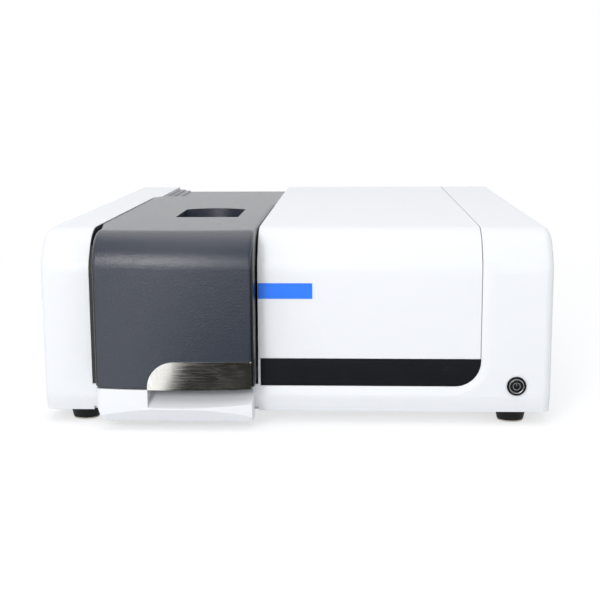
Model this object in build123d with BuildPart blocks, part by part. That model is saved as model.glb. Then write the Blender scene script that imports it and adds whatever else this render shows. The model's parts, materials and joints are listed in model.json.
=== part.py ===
"""UV-vis spectrophotometer with a hinged sample lid, millimetres, +X right, +Y to the rear, +Z up."""

import os
from math import cos, radians, sin

from build123d import *

# Overall size, origin on the table below the middle
width = 477.0
depth = 567.0
foot_height = 12.0
case_height = 171.0
nose = 34.0
wall = 3.0
sheet = 1.5
gap = 0.3
seam = 0.6

half_width = width / 2
case_front = -depth / 2 + nose
case_rear = depth / 2
case_bottom = foot_height
case_top = case_bottom + case_height

# Side outline of the case: skirt, upright front, sloping facet, flat top
skirt_height = 14.0
skirt_lean = 4.0
facet_drop = 32.0
facet_run = 20.0
facet_round = 26.0
brow_round = 36.0
rear_round = 5.0
edge_round = 8.0

# Sample bay, open at the front and the top
left_block = 46.5
bay_width = 157.2
bay_wall = 2.0
bay_left = -half_width + left_block
bay_right = bay_left + bay_width
sill_top = case_bottom + 26.0
deck_front = case_front + 251.5
deck_sheet = 3.0
panel_sheet = 2.5
panel_drop = 6.5
panel_top = case_top - panel_drop
deck_top = panel_top - panel_sheet
deck_low = deck_top - deck_sheet
rear_bay_left = bay_left + 8.0

# Recessed cover and inlay strip on the right of the bay
cover_step = 2.5
cover_right = half_width - 65.7
inlay_bottom = 36.5
inlay_height = 26.0
inlay_top = inlay_bottom + inlay_height
inlay_corner = 24.0
bevel_width = 10.0
label_width = 50.8
label_height = 14.6
label_low = case_top - 63.5
label_film = 0.4
ledge = 7.0
cover_face = case_front + cover_step
inlay_left = bay_right + bay_wall

# Lid: bowed nose, flat top, elliptical rear corner
lid_bow = 5.5
lid_round = 33.0
lid_skin = 2.5
lid_inner = 2.0
lid_crown = 1.0
lid_edge = 5.0
skin_edge = 0.7
lid_top = case_top + lid_crown
lid_left = bay_left + 1.5
lid_nose_left = bay_left + 8.5
lid_right = bay_right - 1.5
lid_bottom = sill_top + 3.2
lid_rear = case_front + 374.5
lid_corner_y = lid_rear - 27.0
lid_corner_x = 20.0
flare_front = case_front + 9.5
flare_rear = case_front + 67.5
ellipse_x = 38.0
ellipse_y = 112.0
plate = 1.2
lid_front = -depth / 2 + plate
seam_side = case_front + 71.5
seam_middle = seam_side + 28.0
side_wall_bottom = case_top - 33.0
lid_swing_room = 4.0
skin_lip = 2.7

# Lid hinge along X at the rear edge of the lid
nose_radius = 3.5
axis_y = lid_rear - nose_radius
axis_z = panel_top + gap + nose_radius
knuckle_radius = 3.1
pin_radius = 1.5
pin_fit = 0.05
knuckle_long = 10.0
knuckle_middle = 14.0
hinge_width = 2 * knuckle_long + knuckle_middle + 2 * gap
hinge_places = (bay_left + 42.0, bay_left + 96.0)
leaf = 1.5
leaf_length = 17.0
notch = hinge_width + 2 * gap

# Plinth under the lid
plinth_left = bay_left + 9.0
plinth_right = bay_right - 3.4
plinth_top = lid_bottom - 0.7
plinth_bottom = 9.0
plinth_lean = 10.0
crease_z = 22.0
recess_left = bay_left + 58.0
recess_back = 5.0

# Handle plate and finger scoop of the lid
handle_left = recess_left
handle_right = lid_right - 2.2
handle_height = 26.0
handle_corner = 24.0
scoop_left = bay_left + 65.0
scoop_right = scoop_left + 64.0
scoop_front = case_front + 115.5
scoop_back = scoop_front + 82.0
scoop_bow = 14.0
scoop_depth = 12.0
scoop_wall = 1.5

# Sample compartment
tub_left = lid_nose_left + 3.0
tub_right = bay_right - 4.7
tub_wall = 2.0
liner = 0.6
tub_floor = 46.0
tub_rear = deck_front - 1.0
tub_top = case_top - 11.0
beam_y = case_front + 99.5
beam_z = 90.0
window_radius = 9.0
bolt_x = 80.0
bolt_y = 120.0
bolt_hole = 2.0
well = 12.6
holder = 32.0
holder_height = 52.0

# Power button on the right end block
button_x = half_width - 32.3
button_z = 37.8
cap_radius = 5.9
ring_radius = 7.0
bezel_radius = 8.9
bezel_fit = 0.05
bezel_sink = 1.4
dish_radius = 12.5
dish_depth = 2.0

# Optics bench
bench_left = inlay_left + 6.0
bench_right = half_width - 12.5
bench_width = bench_right - bench_left
bench_front = case_front + 21.5
bench_top = 50.0
bench_sheet = 8.0
isolator_radius = 9.0
tray_top = case_bottom + 2.0

# Electronics and rear panel
rear_face = case_rear - wall
supply_right = bench_right
supply_left = supply_right - 98.0
supply_rear = rear_face - 34.5
supply_front = supply_rear - 150.0
supply_height = 42.0
bench_rear = supply_front - 34.0
board_left = inlay_left + 8.8
board_right = supply_left - 14.0
board_rear = supply_rear + 2.0
board_front = board_rear - 166.0
board_sheet = 1.6
inlet_x = half_width - 48.5
inlet_z = 48.0
foot_x = half_width - 34.5
foot_front_y = case_front + 23.5
foot_rear_y = case_rear - 37.5
foot_radius = 15.0

along_x = (0, 90, 0)
along_y = (90, 0, 0)
upright = (0, 0, 0)


def block(x0, x1, y0, y1, z0, z1, mode=Mode.ADD):
    """A block between two opposite corners."""
    with Locations(((x0 + x1) / 2, (y0 + y1) / 2, (z0 + z1) / 2)):
        Box(x1 - x0, y1 - y0, z1 - z0, mode=mode)


def rod(centre, radius, length, turn=upright, mode=Mode.ADD):
    """A round bar about its middle, laid along one axis."""
    with Locations(Location(centre, turn)):
        Cylinder(radius, length, mode=mode)


def side_outline(x, front, top, rear, bottom=case_bottom, inset=0.0):
    """The case seen from the side, on the plane at x, with its front and top where asked."""
    with BuildSketch(Plane.YZ.offset(x)) as outline:
        with BuildLine():
            FilletPolyline(
                (front + skirt_lean, bottom),
                (front, case_bottom + skirt_height),
                (front, case_top - facet_drop - inset / 2),
                (front + facet_run, top),
                (rear, top),
                (rear, bottom),
                radius=[0, facet_round, facet_round, brow_round, rear_round, 0],
                close=True,
            )
        make_face()
    return outline.sketch


def finish(piece, name):
    """Name a finished piece and write it to its own file."""
    piece.part.label = name
    export_step(piece.part, f"parts/{name}.step")


def lid_plan(height, front_inset, side_inset, rear_inset=0.0):
    """The lid seen from above: bowed nose, flared left side, rounded rear corners."""
    middle = (lid_nose_left + lid_right) / 2
    left_nose = lid_nose_left + side_inset
    left = lid_left + side_inset
    right = lid_right - side_inset
    rear = lid_rear - rear_inset
    front = lid_front + front_inset
    with BuildSketch(Plane.XY.offset(height)) as plan:
        with BuildLine():
            ThreePointArc((left_nose, front + lid_bow), (middle, front), (right, front + lid_bow))
            Line((right, front + lid_bow), (right, lid_rear - ellipse_y))
            EllipticalCenterArc(
                (right - ellipse_x + rear_inset, lid_rear - ellipse_y),
                ellipse_x - rear_inset,
                ellipse_y - rear_inset,
                start_angle=0,
                arc_size=90,
            )
            Line((right - ellipse_x + rear_inset, rear), (left + lid_corner_x, rear))
            Spline(
                (left + lid_corner_x, rear),
                (left, lid_corner_y),
                tangents=[(-1, 0), (0, -1)],
            )
            Line((left, lid_corner_y), (left, flare_rear))
            Spline((left, flare_rear), (left_nose, flare_front), tangents=[(0, -1), (0, -1)])
            Line((left_nose, flare_front), (left_nose, front + lid_bow))
        make_face()
    return plan.sketch


def lid_block(front_inset, side_inset, top_inset, bottom, rear_inset=0.0, edge=0.0):
    """A solid lid, moved in from the outside by the insets, with its big front round and soft edges."""
    with BuildPart() as solid:
        extrude(lid_plan(bottom, front_inset, side_inset, rear_inset), amount=lid_top - top_inset - bottom)
        top_edges = solid.edges().group_by(Axis.Z)[-1].sort_by(Axis.Y)
        fillet(top_edges[0], lid_round - front_inset)
        if edge:
            nose_edges = solid.edges().filter_by(Axis.Z).sort_by(Axis.Y)[:2]
            fillet(nose_edges, edge)
    return solid.part


def top_of_lid(y_low, y_high, height, shift=0.0):
    """A plan region of the lid behind or in front of the curved seam."""
    middle = (lid_left + lid_right) / 2
    far = y_high if y_high > seam_middle else y_low
    with BuildSketch(Plane.XY.offset(height)) as region:
        with BuildLine():
            side_y = seam_side + shift
            ThreePointArc((lid_left - 5, side_y), (middle, seam_middle + shift), (lid_right + 5, side_y))
            Line((lid_right + 5, side_y), (lid_right + 5, far))
            Line((lid_right + 5, far), (lid_left - 5, far))
            Line((lid_left - 5, far), (lid_left - 5, side_y))
        make_face()
    return region.sketch


os.makedirs("parts", exist_ok=True)

# Main casing: left block, bay walls, surround and right end block in one moulding
cover_space_top = case_top + 20
with BuildPart() as cover_space:
    block(bay_right, cover_right + seam, case_front - 5, case_rear + 5, inlay_top, cover_space_top)
    extrude(
        side_outline(bay_right - 5, cover_face + wall, case_top - wall, case_rear + 10, inset=wall),
        amount=cover_right - bay_right + 20, mode=Mode.SUBTRACT,
    )

with BuildPart() as bevel_space:
    for depth_step, grow in ((0.0, bevel_width), (cover_step, 0.0)):
        with BuildSketch(Plane.XZ.offset(-case_front - depth_step)):
            with BuildLine():
                FilletPolyline(
                    (inlay_left - 40, inlay_bottom - grow * 0.8),
                    (cover_right + seam + grow, inlay_bottom - grow * 0.8),
                    (cover_right + seam + grow, cover_space_top),
                    (inlay_left - 40, cover_space_top),
                    radius=[0, inlay_corner + grow, 0, 0],
                    close=True,
                )
            make_face()
    loft(ruled=True)

with BuildPart() as lid_clearance:
    extrude(lid_plan(deck_top, 0.0, bay_left - lid_left, -lid_swing_room), amount=case_top)

with BuildPart() as main_casing:
    extrude(side_outline(-half_width, case_front, case_top, case_rear), amount=width)
    side_edges = main_casing.faces().filter_by(Axis.X).edges()
    fillet(side_edges.filter_by(lambda edge: edge.center().Z > case_bottom + 1), edge_round)
    extrude(
        side_outline(-half_width + wall, case_front + wall, case_top - wall, rear_face, inset=wall),
        amount=bay_left - bay_wall + half_width - wall, mode=Mode.SUBTRACT,
    )
    extrude(
        side_outline(inlay_left, cover_face + 2 * wall, case_top - 2 * wall, rear_face, inset=2 * wall),
        amount=cover_right + seam + 4 - inlay_left, mode=Mode.SUBTRACT,
    )
    extrude(
        side_outline(cover_right + seam + 4, case_front + wall, case_top - wall, rear_face, inset=wall),
        amount=half_width - wall - cover_right - seam - 4, mode=Mode.SUBTRACT,
    )
    block(bay_left, bay_right, deck_front, rear_face, 0, deck_low, Mode.SUBTRACT)
    block(-half_width + wall, half_width - wall, case_front + wall + skirt_lean, rear_face, 0, tray_top,
          Mode.SUBTRACT)
    block(-half_width + wall, half_width - wall, rear_face - sheet - gap, rear_face, 0, deck_low,
          Mode.SUBTRACT)
    block(bay_left, bay_right, case_front + wall, deck_front, 0, cover_space_top, Mode.SUBTRACT)
    block(bay_left, bay_right, case_front - 5, deck_front, sill_top, cover_space_top, Mode.SUBTRACT)
    block(rear_bay_left, bay_right, deck_front - 5, case_rear + 5, deck_top, cover_space_top, Mode.SUBTRACT)
    add(lid_clearance.part, mode=Mode.SUBTRACT)
    block(-half_width + 2 * wall, half_width - 2 * wall, rear_face - 1, case_rear + 1, 0,
          deck_low - wall, Mode.SUBTRACT)
    add(bevel_space.part, mode=Mode.SUBTRACT)
    add(cover_space.part, mode=Mode.SUBTRACT)
    with BuildSketch(Plane.XZ.offset(-cover_face)):
        with BuildLine():
            FilletPolyline(
                (inlay_left, inlay_bottom),
                (cover_right + seam, inlay_bottom),
                (cover_right + seam, inlay_top + 1),
                (inlay_left, inlay_top + 1),
                radius=[0, inlay_corner, 0, 0],
                close=True,
            )
        make_face()
    extrude(amount=-wall, mode=Mode.SUBTRACT)
    block(inlay_left + ledge, cover_right - ledge, case_front + 60, rear_face - ledge,
          case_top - 3 * wall, cover_space_top, Mode.SUBTRACT)
    block(inlay_left + ledge, cover_right - ledge, case_front - 5, case_front + 5 * wall,
          inlay_top + ledge, case_top - facet_drop - ledge, Mode.SUBTRACT)
    for wall_x in (bay_left - bay_wall / 2, bay_right + bay_wall / 2):
        rod((wall_x, beam_y, beam_z), window_radius + 4, 2 * bay_wall, along_x, Mode.SUBTRACT)
    rod((button_x, case_front, button_z), ring_radius + gap, 4 * wall, along_y, Mode.SUBTRACT)
    rod((button_x, case_front + bezel_sink / 2 - 2, button_z), bezel_radius + bezel_fit, bezel_sink + 4,
        along_y, Mode.SUBTRACT)
    dish_ball = (dish_radius ** 2 + dish_depth ** 2) / (2 * dish_depth)
    with Locations((button_x + 1.4, case_front - dish_ball + dish_depth, button_z - 2.4)):
        Sphere(dish_ball, mode=Mode.SUBTRACT)
    for side in (-1, 1):
        for boss_y in (case_front + 14, 0.0, rear_face - 14):
            boss_middle = (side * (half_width - wall - 4), boss_y, tray_top + 10)
            rod(boss_middle, 5, 20)
            rod(boss_middle, 1.5, 20, mode=Mode.SUBTRACT)
finish(main_casing, "main_casing")

with BuildPart() as monochromator_cover:
    extrude(side_outline(bay_right, cover_face, case_top, case_rear), amount=cover_right - bay_right)
    extrude(
        side_outline(bay_right, cover_face + wall, case_top - wall, case_rear + 10, inset=wall),
        amount=cover_right - bay_right, mode=Mode.SUBTRACT,
    )
    block(bay_right, cover_right, case_front - 5, case_rear + 5, 0, inlay_top + gap, Mode.SUBTRACT)
    block(bay_right, cover_right, case_rear - 3 * wall, case_rear + 5, 0, case_top - wall, Mode.SUBTRACT)
finish(monochromator_cover, "monochromator_cover")

with BuildPart() as black_inlay_strip:
    with BuildSketch(Plane.XZ.offset(-cover_face)):
        with BuildLine():
            FilletPolyline(
                (inlay_left + gap, inlay_bottom + gap),
                (cover_right + gap, inlay_bottom + gap),
                (cover_right + gap, inlay_top - gap),
                (inlay_left + gap, inlay_top - gap),
                radius=[0, inlay_corner - gap, 0, 0],
                close=True,
            )
        make_face()
    extrude(amount=-wall)
finish(black_inlay_strip, "black_inlay_strip")

with BuildPart() as blank_label:
    block(bay_right + gap, bay_right + gap + label_width, cover_face - label_film, cover_face,
          label_low, label_low + label_height)
finish(blank_label, "blank_label")

with BuildPart() as front_plinth:
    with BuildSketch(Plane.XY.offset(plinth_bottom)):
        with BuildLine():
            front = -depth / 2
            middle = (plinth_left + plinth_right) / 2
            ThreePointArc((plinth_left, front + lid_bow), (middle, front), (plinth_right, front + lid_bow))
            Polyline(
                (plinth_right, front + lid_bow),
                (plinth_right, case_front),
                (plinth_left, case_front),
                (plinth_left, front + lid_bow),
            )
        make_face()
    extrude(amount=plinth_top - plinth_bottom)
    left_edge = front_plinth.edges().filter_by(Axis.Z).sort_by(Axis.Y)[:2].sort_by(Axis.X)[0]
    fillet(left_edge, 7)
    with BuildSketch(Plane.YZ.offset(plinth_left - 5)):
        with BuildLine():
            Polyline(
                (-depth / 2 - 1, crease_z),
                (-depth / 2 - 1, plinth_bottom - 1),
                (-depth / 2 + plinth_lean, plinth_bottom - 1),
                (-depth / 2 + 0.5, crease_z),
                close=True,
            )
        make_face()
    extrude(amount=plinth_right - plinth_left + 10, mode=Mode.SUBTRACT)
    with BuildSketch(Plane.YZ.offset(recess_left)):
        with BuildLine():
            Polyline(
                (-depth / 2 - 1, crease_z + 1),
                (case_front - recess_back, plinth_top - 2),
                (case_front - recess_back, plinth_top + 1),
                (-depth / 2 - 1, plinth_top + 1),
                close=True,
            )
        make_face()
    extrude(amount=plinth_right - recess_left + 10, mode=Mode.SUBTRACT)
    with BuildSketch(Plane.XZ.offset(-case_front + 1)):
        with BuildLine():
            Polyline(
                (plinth_left - 2, plinth_bottom - 1),
                (plinth_left + 7, plinth_bottom - 1),
                (plinth_left - 2, crease_z + 8),
                close=True,
            )
        make_face()
    extrude(amount=nose + 10, mode=Mode.SUBTRACT)
finish(front_plinth, "front_plinth")

with BuildPart() as rear_lid_panel:
    panel_left = rear_bay_left + gap
    panel_right = bay_right - gap
    block(panel_left, panel_right, deck_front, case_rear, deck_top, panel_top)
    block(panel_left, panel_left + 7, lid_rear + 22, case_rear, panel_top, panel_top + 3)
    block(panel_left + 7, panel_left + 14, lid_rear + 22, case_rear, panel_top, panel_top + 1.5)
finish(rear_lid_panel, "rear_lid_panel")

# Sample lid
inner_block = lid_block(lid_skin, 0.0, lid_skin, lid_bottom + 1, edge=lid_edge - lid_skin + skin_edge)
outer_block = lid_block(0.0, 0.0, 0.0, lid_bottom, edge=lid_edge)
hollow_block = lid_block(lid_skin + lid_inner, lid_inner, lid_skin + lid_inner, lid_bottom - 5, 6.0)
lid_under = lid_top - lid_skin - lid_inner

with BuildPart() as scoop_space:
    with BuildSketch(Plane.XY.offset(lid_top - scoop_depth - 1)):
        with BuildLine():
            scoop_middle = (scoop_left + scoop_right) / 2
            Polyline((scoop_left, scoop_back), (scoop_left, scoop_front), (scoop_right, scoop_front),
                     (scoop_right, scoop_back))
            ThreePointArc((scoop_right, scoop_back), (scoop_middle, scoop_back + scoop_bow),
                          (scoop_left, scoop_back))
        make_face()
    extrude(amount=scoop_depth + 10)
    with BuildSketch(Plane.YZ.offset(scoop_left)):
        with BuildLine():
            Polyline(
                (scoop_front, lid_top),
                (scoop_back, lid_top - scoop_depth),
                (scoop_back + 2 * scoop_bow, lid_top - scoop_depth),
                (scoop_back + 2 * scoop_bow, lid_top + 5),
                (scoop_front, lid_top + 5),
                close=True,
            )
        make_face()
    extrude(amount=scoop_right - scoop_left, mode=Mode.INTERSECT)

scoop_pan = (scoop_left - scoop_wall, scoop_right + scoop_wall, scoop_front + 14,
             scoop_back + scoop_bow + scoop_wall, lid_top - scoop_depth - scoop_wall, lid_top - lid_skin)


def hinge_notches():
    """Clear the rear edge of the lid for the hinge knuckles."""
    for hinge_x in hinge_places:
        block(hinge_x - notch / 2, hinge_x + notch / 2, axis_y - nose_radius - 0.6, lid_rear + 5,
              panel_top, lid_top + 5, Mode.SUBTRACT)


with BuildPart() as lid_frame:
    add(inner_block)
    add(hollow_block, mode=Mode.SUBTRACT)
    block(lid_left - 9, lid_right + 9, case_front + 5, lid_rear + 9, 0, side_wall_bottom, Mode.SUBTRACT)
    block(lid_left - 9, lid_right + 9, tub_rear - 5, lid_rear + 9, 0, lid_under, Mode.SUBTRACT)
    with BuildSketch(Plane.YZ.offset(lid_left + lid_corner_x + 1)):
        with BuildLine():
            Polyline((axis_y, axis_z - nose_radius), (axis_y - 8, axis_z - nose_radius),
                     (axis_y - 8, lid_under + 0.5), (axis_y + nose_radius - 0.2, lid_under + 0.5))
            RadiusArc((axis_y + nose_radius - 0.2, lid_under + 0.5), (axis_y, axis_z - nose_radius),
                      nose_radius)
        make_face()
    extrude(amount=lid_right - ellipse_x - lid_left - lid_corner_x - 2)
    block(*scoop_pan, Mode.SUBTRACT)
    hinge_notches()
    for hinge_x in hinge_places:
        block(hinge_x - notch / 2, hinge_x + notch / 2, axis_y - leaf_length - gap, lid_rear + 5,
              panel_top, lid_under, Mode.SUBTRACT)
finish(lid_frame, "lid_frame")

with BuildPart() as lid_front_skin:
    add(outer_block)
    add(inner_block, mode=Mode.SUBTRACT)
    extrude(top_of_lid(0, depth, 0), amount=depth, mode=Mode.SUBTRACT)
    for edge_x, outwards in ((lid_nose_left, -1), (lid_right, 1)):
        with BuildSketch(Plane.XZ.offset(-case_front)):
            with BuildLine():
                Polyline(
                    (edge_x - outwards * skin_lip, 0),
                    (edge_x - outwards * skin_lip, case_top - lid_round),
                    (edge_x, case_top - lid_edge),
                    (edge_x + outwards * 2 * skin_lip, case_top - lid_edge),
                    (edge_x + outwards * 2 * skin_lip, 0),
                    close=True,
                )
            make_face()
        extrude(amount=depth, mode=Mode.SUBTRACT)
    block(lid_left - 9, lid_right + 9, -depth, 300, 0, lid_bottom + gap, Mode.SUBTRACT)
    block(lid_left - 9, lid_right + 9, case_front, 300, 0, 100, Mode.SUBTRACT)
finish(lid_front_skin, "lid_front_skin")

with BuildPart() as lid_top_panel:
    add(outer_block)
    add(inner_block, mode=Mode.SUBTRACT)
    extrude(top_of_lid(-depth, seam_side, 0, gap), amount=depth, mode=Mode.SUBTRACT)
    block(lid_left - 9, lid_right + 9, -depth, 300, 0, lid_top - lid_skin, Mode.SUBTRACT)
    block(*scoop_pan)
    add(scoop_space.part, mode=Mode.SUBTRACT)
    hinge_notches()
finish(lid_top_panel, "lid_top_panel")

with BuildPart() as lid_handle:
    extrude(lid_plan(lid_bottom - 0.7, -plate, 0.0), amount=handle_height)
    extrude(lid_plan(lid_bottom - 5, 0.0, -5.0), amount=handle_height + 20, mode=Mode.SUBTRACT)
    with BuildSketch(Plane.XZ.offset(depth / 2 + 5)):
        with BuildLine():
            FilletPolyline(
                (handle_left, lid_bottom - 0.7),
                (handle_right, lid_bottom - 0.7),
                (handle_right, lid_bottom - 0.7 + handle_height),
                (handle_left, lid_bottom - 0.7 + handle_height),
                radius=[0, 0, 1.5, handle_corner],
                close=True,
            )
        make_face()
    extrude(amount=-nose, mode=Mode.INTERSECT)
finish(lid_handle, "lid_handle")

nose_middle = (lid_nose_left + lid_right) / 2
nose_half = (lid_right - lid_nose_left) / 2
with BuildPart() as lid_handle_screws:
    for screw_x in (handle_left + 22, handle_left + 72):
        bow_here = lid_bow * ((screw_x - nose_middle) / nose_half) ** 2
        rod((screw_x, lid_front + bow_here + lid_skin + lid_inner + 1.5, 54), 3, 2, along_y)
finish(lid_handle_screws, "lid_handle_screws")

with BuildPart() as hinge_fixed_leaves:
    for hinge_x in hinge_places:
        rod((hinge_x, axis_y, axis_z), knuckle_radius, knuckle_middle, along_x)
        block(hinge_x - knuckle_middle / 2, hinge_x + knuckle_middle / 2, axis_y, axis_y + 6,
              panel_top, panel_top + leaf)
        block(hinge_x - hinge_width / 2, hinge_x + hinge_width / 2, axis_y + nose_radius + 0.7,
              axis_y + leaf_length, panel_top, panel_top + leaf)
        rod((hinge_x, axis_y, axis_z), pin_radius + pin_fit, hinge_width, along_x, Mode.SUBTRACT)
finish(hinge_fixed_leaves, "hinge_fixed_leaves")

with BuildPart() as hinge_moving_leaves:
    for hinge_x in hinge_places:
        for side in (-1, 1):
            knuckle_x = hinge_x + side * (knuckle_middle / 2 + gap + knuckle_long / 2)
            rod((knuckle_x, axis_y, axis_z), knuckle_radius, knuckle_long, along_x)
            block(knuckle_x - knuckle_long / 2, knuckle_x + knuckle_long / 2, axis_y - 6, axis_y,
                  lid_under - leaf, lid_under)
        block(hinge_x - hinge_width / 2, hinge_x + hinge_width / 2, axis_y - leaf_length,
              axis_y - nose_radius - 0.3, lid_under - leaf, lid_under)
        rod((hinge_x, axis_y, axis_z), pin_radius, hinge_width, along_x, Mode.SUBTRACT)
finish(hinge_moving_leaves, "hinge_moving_leaves")

with BuildPart() as hinge_pins:
    for hinge_x in hinge_places:
        rod((hinge_x, axis_y, axis_z), pin_radius, hinge_width, along_x)
finish(hinge_pins, "hinge_pins")

# Sample compartment
plate_x = (tub_left + tub_right) / 2
plate_y = beam_y + 10
with BuildPart() as sample_tub:
    strip_width = tub_left + 1 - bay_left - gap
    extrude(side_outline(bay_left + gap, case_front + 0.5, case_top - gap, 0), amount=strip_width)
    extrude(side_outline(bay_left + gap + liner, case_front + 2, case_top - gap, 5), amount=strip_width,
            mode=Mode.SUBTRACT)
    block(bay_left, tub_left + 2, flare_rear, tub_rear, 0, case_top, Mode.SUBTRACT)
    block(bay_left, tub_left + 2, case_front - 5, flare_rear, 0, sill_top + gap, Mode.SUBTRACT)
    block(bay_left + gap + liner, tub_left + 2, flare_front + 2, flare_rear, 0, case_top, Mode.SUBTRACT)
    block(tub_left, tub_right, case_front + 1, tub_rear, tub_floor - tub_wall, tub_top)
    block(tub_left + tub_wall, tub_right - tub_wall, case_front - 5, tub_rear - tub_wall, tub_floor,
          tub_top + 5, Mode.SUBTRACT)
    block(lid_nose_left - 0.7, tub_left, case_front - 5, case_front + 30, lid_bottom - 0.5, case_top,
          Mode.SUBTRACT)
    for side_x in (tub_left + tub_wall / 2, tub_right - tub_wall / 2):
        rod((side_x, beam_y, beam_z), window_radius, 2 * tub_wall, along_x, Mode.SUBTRACT)
    with Locations((plate_x, plate_y, tub_floor)):
        with GridLocations(bolt_x, bolt_y, 2, 2):
            Cylinder(bolt_hole + 0.5, 10, mode=Mode.SUBTRACT)
    for leg_x in (tub_left + 12, tub_right - 12):
        for leg_y in (case_front + 22, tub_rear - 14):
            rod((leg_x, leg_y, (tray_top + tub_floor) / 2 - 0.5), 6, tub_floor - tray_top - 1)
finish(sample_tub, "sample_tub")

with BuildPart() as accessory_base_plate:
    block(plate_x - 55, plate_x + 55, plate_y - 85, plate_y + 85, tub_floor, tub_floor + 4)
    with Locations((plate_x, plate_y, tub_floor + 2)):
        with GridLocations(bolt_x, bolt_y, 2, 2):
            Cylinder(bolt_hole, 10, mode=Mode.SUBTRACT)
finish(accessory_base_plate, "accessory_base_plate")
holder_base = tub_floor + 4

with BuildPart() as cell_holder:
    block(plate_x - holder / 2, plate_x + holder / 2, beam_y - holder / 2, beam_y + holder / 2,
          holder_base, holder_base + holder_height)
    block(plate_x - holder / 2 - 12, plate_x + holder / 2 + 12, beam_y - holder / 2,
          beam_y + holder / 2, holder_base, holder_base + 4)
    block(plate_x - well / 2, plate_x + well / 2, beam_y - well / 2, beam_y + well / 2,
          holder_base + 8, holder_base + holder_height + 5, Mode.SUBTRACT)
    block(plate_x - holder, plate_x + holder, beam_y - 4, beam_y + 4, beam_z - 12, beam_z + 7,
          Mode.SUBTRACT)
finish(cell_holder, "cell_holder")

with BuildPart() as cell_holder_screws:
    for side in (-1, 1):
        rod((plate_x + side * (holder / 2 + 7), beam_y, holder_base + 5.5), 3.5, 3)
        rod((plate_x + side * (holder / 2 + 7), beam_y, holder_base + 6.5), 1.5, 1.2, mode=Mode.SUBTRACT)
finish(cell_holder_screws, "cell_holder_screws")

with BuildPart() as sample_windows:
    for side_x in (tub_left + tub_wall / 2, tub_right - tub_wall / 2):
        rod((side_x, beam_y, beam_z), window_radius, tub_wall, along_x)
finish(sample_windows, "sample_windows")

with BuildPart() as window_rings:
    for ring_x in (tub_left + tub_wall + 0.75, tub_right - tub_wall - 0.75):
        rod((ring_x, beam_y, beam_z), window_radius + 3, 1.5, along_x)
        rod((ring_x, beam_y, beam_z), window_radius - 2, 3, along_x, Mode.SUBTRACT)
finish(window_rings, "window_rings")

with BuildPart() as lid_seal:
    seal_top = lid_under - gap
    block(tub_left, tub_right, case_front + 22, tub_rear, tub_top, seal_top)
    block(tub_left + tub_wall, tub_right - tub_wall, case_front, tub_rear - tub_wall,
          tub_top - 5, seal_top + 5, Mode.SUBTRACT)
finish(lid_seal, "lid_seal")

# Power button
with BuildPart() as power_button_bezel:
    rod((button_x, case_front + bezel_sink - 1.2, button_z), bezel_radius, 2.4, along_y)
    rod((button_x, case_front, button_z), ring_radius, 9, along_y, Mode.SUBTRACT)
finish(power_button_bezel, "power_button_bezel")

with BuildPart() as power_button_ring:
    rod((button_x, case_front + 6, button_z), ring_radius, 15, along_y)
    rod((button_x, case_front + 6, button_z), cap_radius + gap, 16, along_y, Mode.SUBTRACT)
finish(power_button_ring, "power_button_ring")

with BuildPart() as power_button_cap:
    rod((button_x, case_front + 3, button_z), cap_radius, 8, along_y)
finish(power_button_cap, "power_button_cap")

with BuildPart() as power_symbol:
    symbol_y = -case_front + 1.1
    with BuildSketch(Plane.XZ.offset(symbol_y)):
        with Locations((button_x, button_z)):
            Circle(3.6)
            Circle(3.0, mode=Mode.SUBTRACT)
            with Locations((0, 3)):
                Rectangle(2, 4, mode=Mode.SUBTRACT)
            with Locations((0, 2)):
                Rectangle(0.6, 3.6)
    extrude(amount=-0.1)
finish(power_symbol, "power_symbol")

with BuildPart() as power_switch_body:
    rod((button_x, case_front + 16.5, button_z), ring_radius, 6, along_y)
    for side in (-1, 1):
        block(button_x + side * 3 - 0.4, button_x + side * 3 + 0.4, case_front + 19, case_front + 25,
              button_z - 2, button_z + 2)
finish(power_switch_body, "power_switch_body")

# Base tray, screws and feet
board_low = tray_top + 10
board_places = [
    (x, y)
    for x in (board_left + 6, board_right - 6)
    for y in (board_front + 6, board_rear - 6)
]
with BuildPart() as base_tray:
    tray_half = half_width - wall - gap
    block(-tray_half, tray_half, case_front + wall + gap + skirt_lean, rear_face - gap,
          tray_top - sheet, tray_top)
    for side in (-1, 1):
        for boss_y in (case_front + 14, 0.0, rear_face - 14):
            rod((side * (half_width - wall - 4), boss_y, tray_top), 2, 4, mode=Mode.SUBTRACT)
    with Locations((bay_left + 72, case_rear - 133.5, tray_top)):
        with GridLocations(16, 60, 5, 2):
            Box(5, 44, 5, mode=Mode.SUBTRACT)
    for place in board_places:
        rod((*place, (tray_top + board_low) / 2 - sheet / 2), 3, board_low - tray_top + sheet)
finish(base_tray, "base_tray")

with BuildPart() as case_screws:
    for side in (-1, 1):
        for boss_y in (case_front + 14, 0.0, rear_face - 14):
            screw_x = side * (half_width - wall - 4)
            rod((screw_x, boss_y, tray_top - sheet - 1), 3.4, 2)
            rod((screw_x, boss_y, tray_top + 3), 1.4, 9)
        for hinge_x in hinge_places:
            rod((hinge_x + side * 11, axis_y + 11, panel_top + leaf + 0.4), 2.2, 0.8)
    for screw_x in (20.5 - half_width, 0, half_width - 20.5):
        for screw_z in (case_bottom + 16, deck_low - 21):
            rod((screw_x, rear_face + 0.9, screw_z), 3, 1.8, along_y)
finish(case_screws, "case_screws")

foot_places = [(side * foot_x, y) for side in (-1, 1) for y in (foot_front_y, foot_rear_y)]
foot_pad = 1.5
foot_tall = tray_top - sheet - foot_pad
with BuildPart() as rubber_feet:
    with Locations(*[(x, y, foot_pad + foot_tall / 2) for x, y in foot_places]):
        Cone(foot_radius - 2.5, foot_radius, foot_tall)
finish(rubber_feet, "rubber_feet")

with BuildPart() as foot_pads:
    with BuildSketch():
        with Locations(*foot_places):
            Circle(foot_radius - 3)
    extrude(amount=foot_pad)
finish(foot_pads, "foot_pads")

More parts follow.
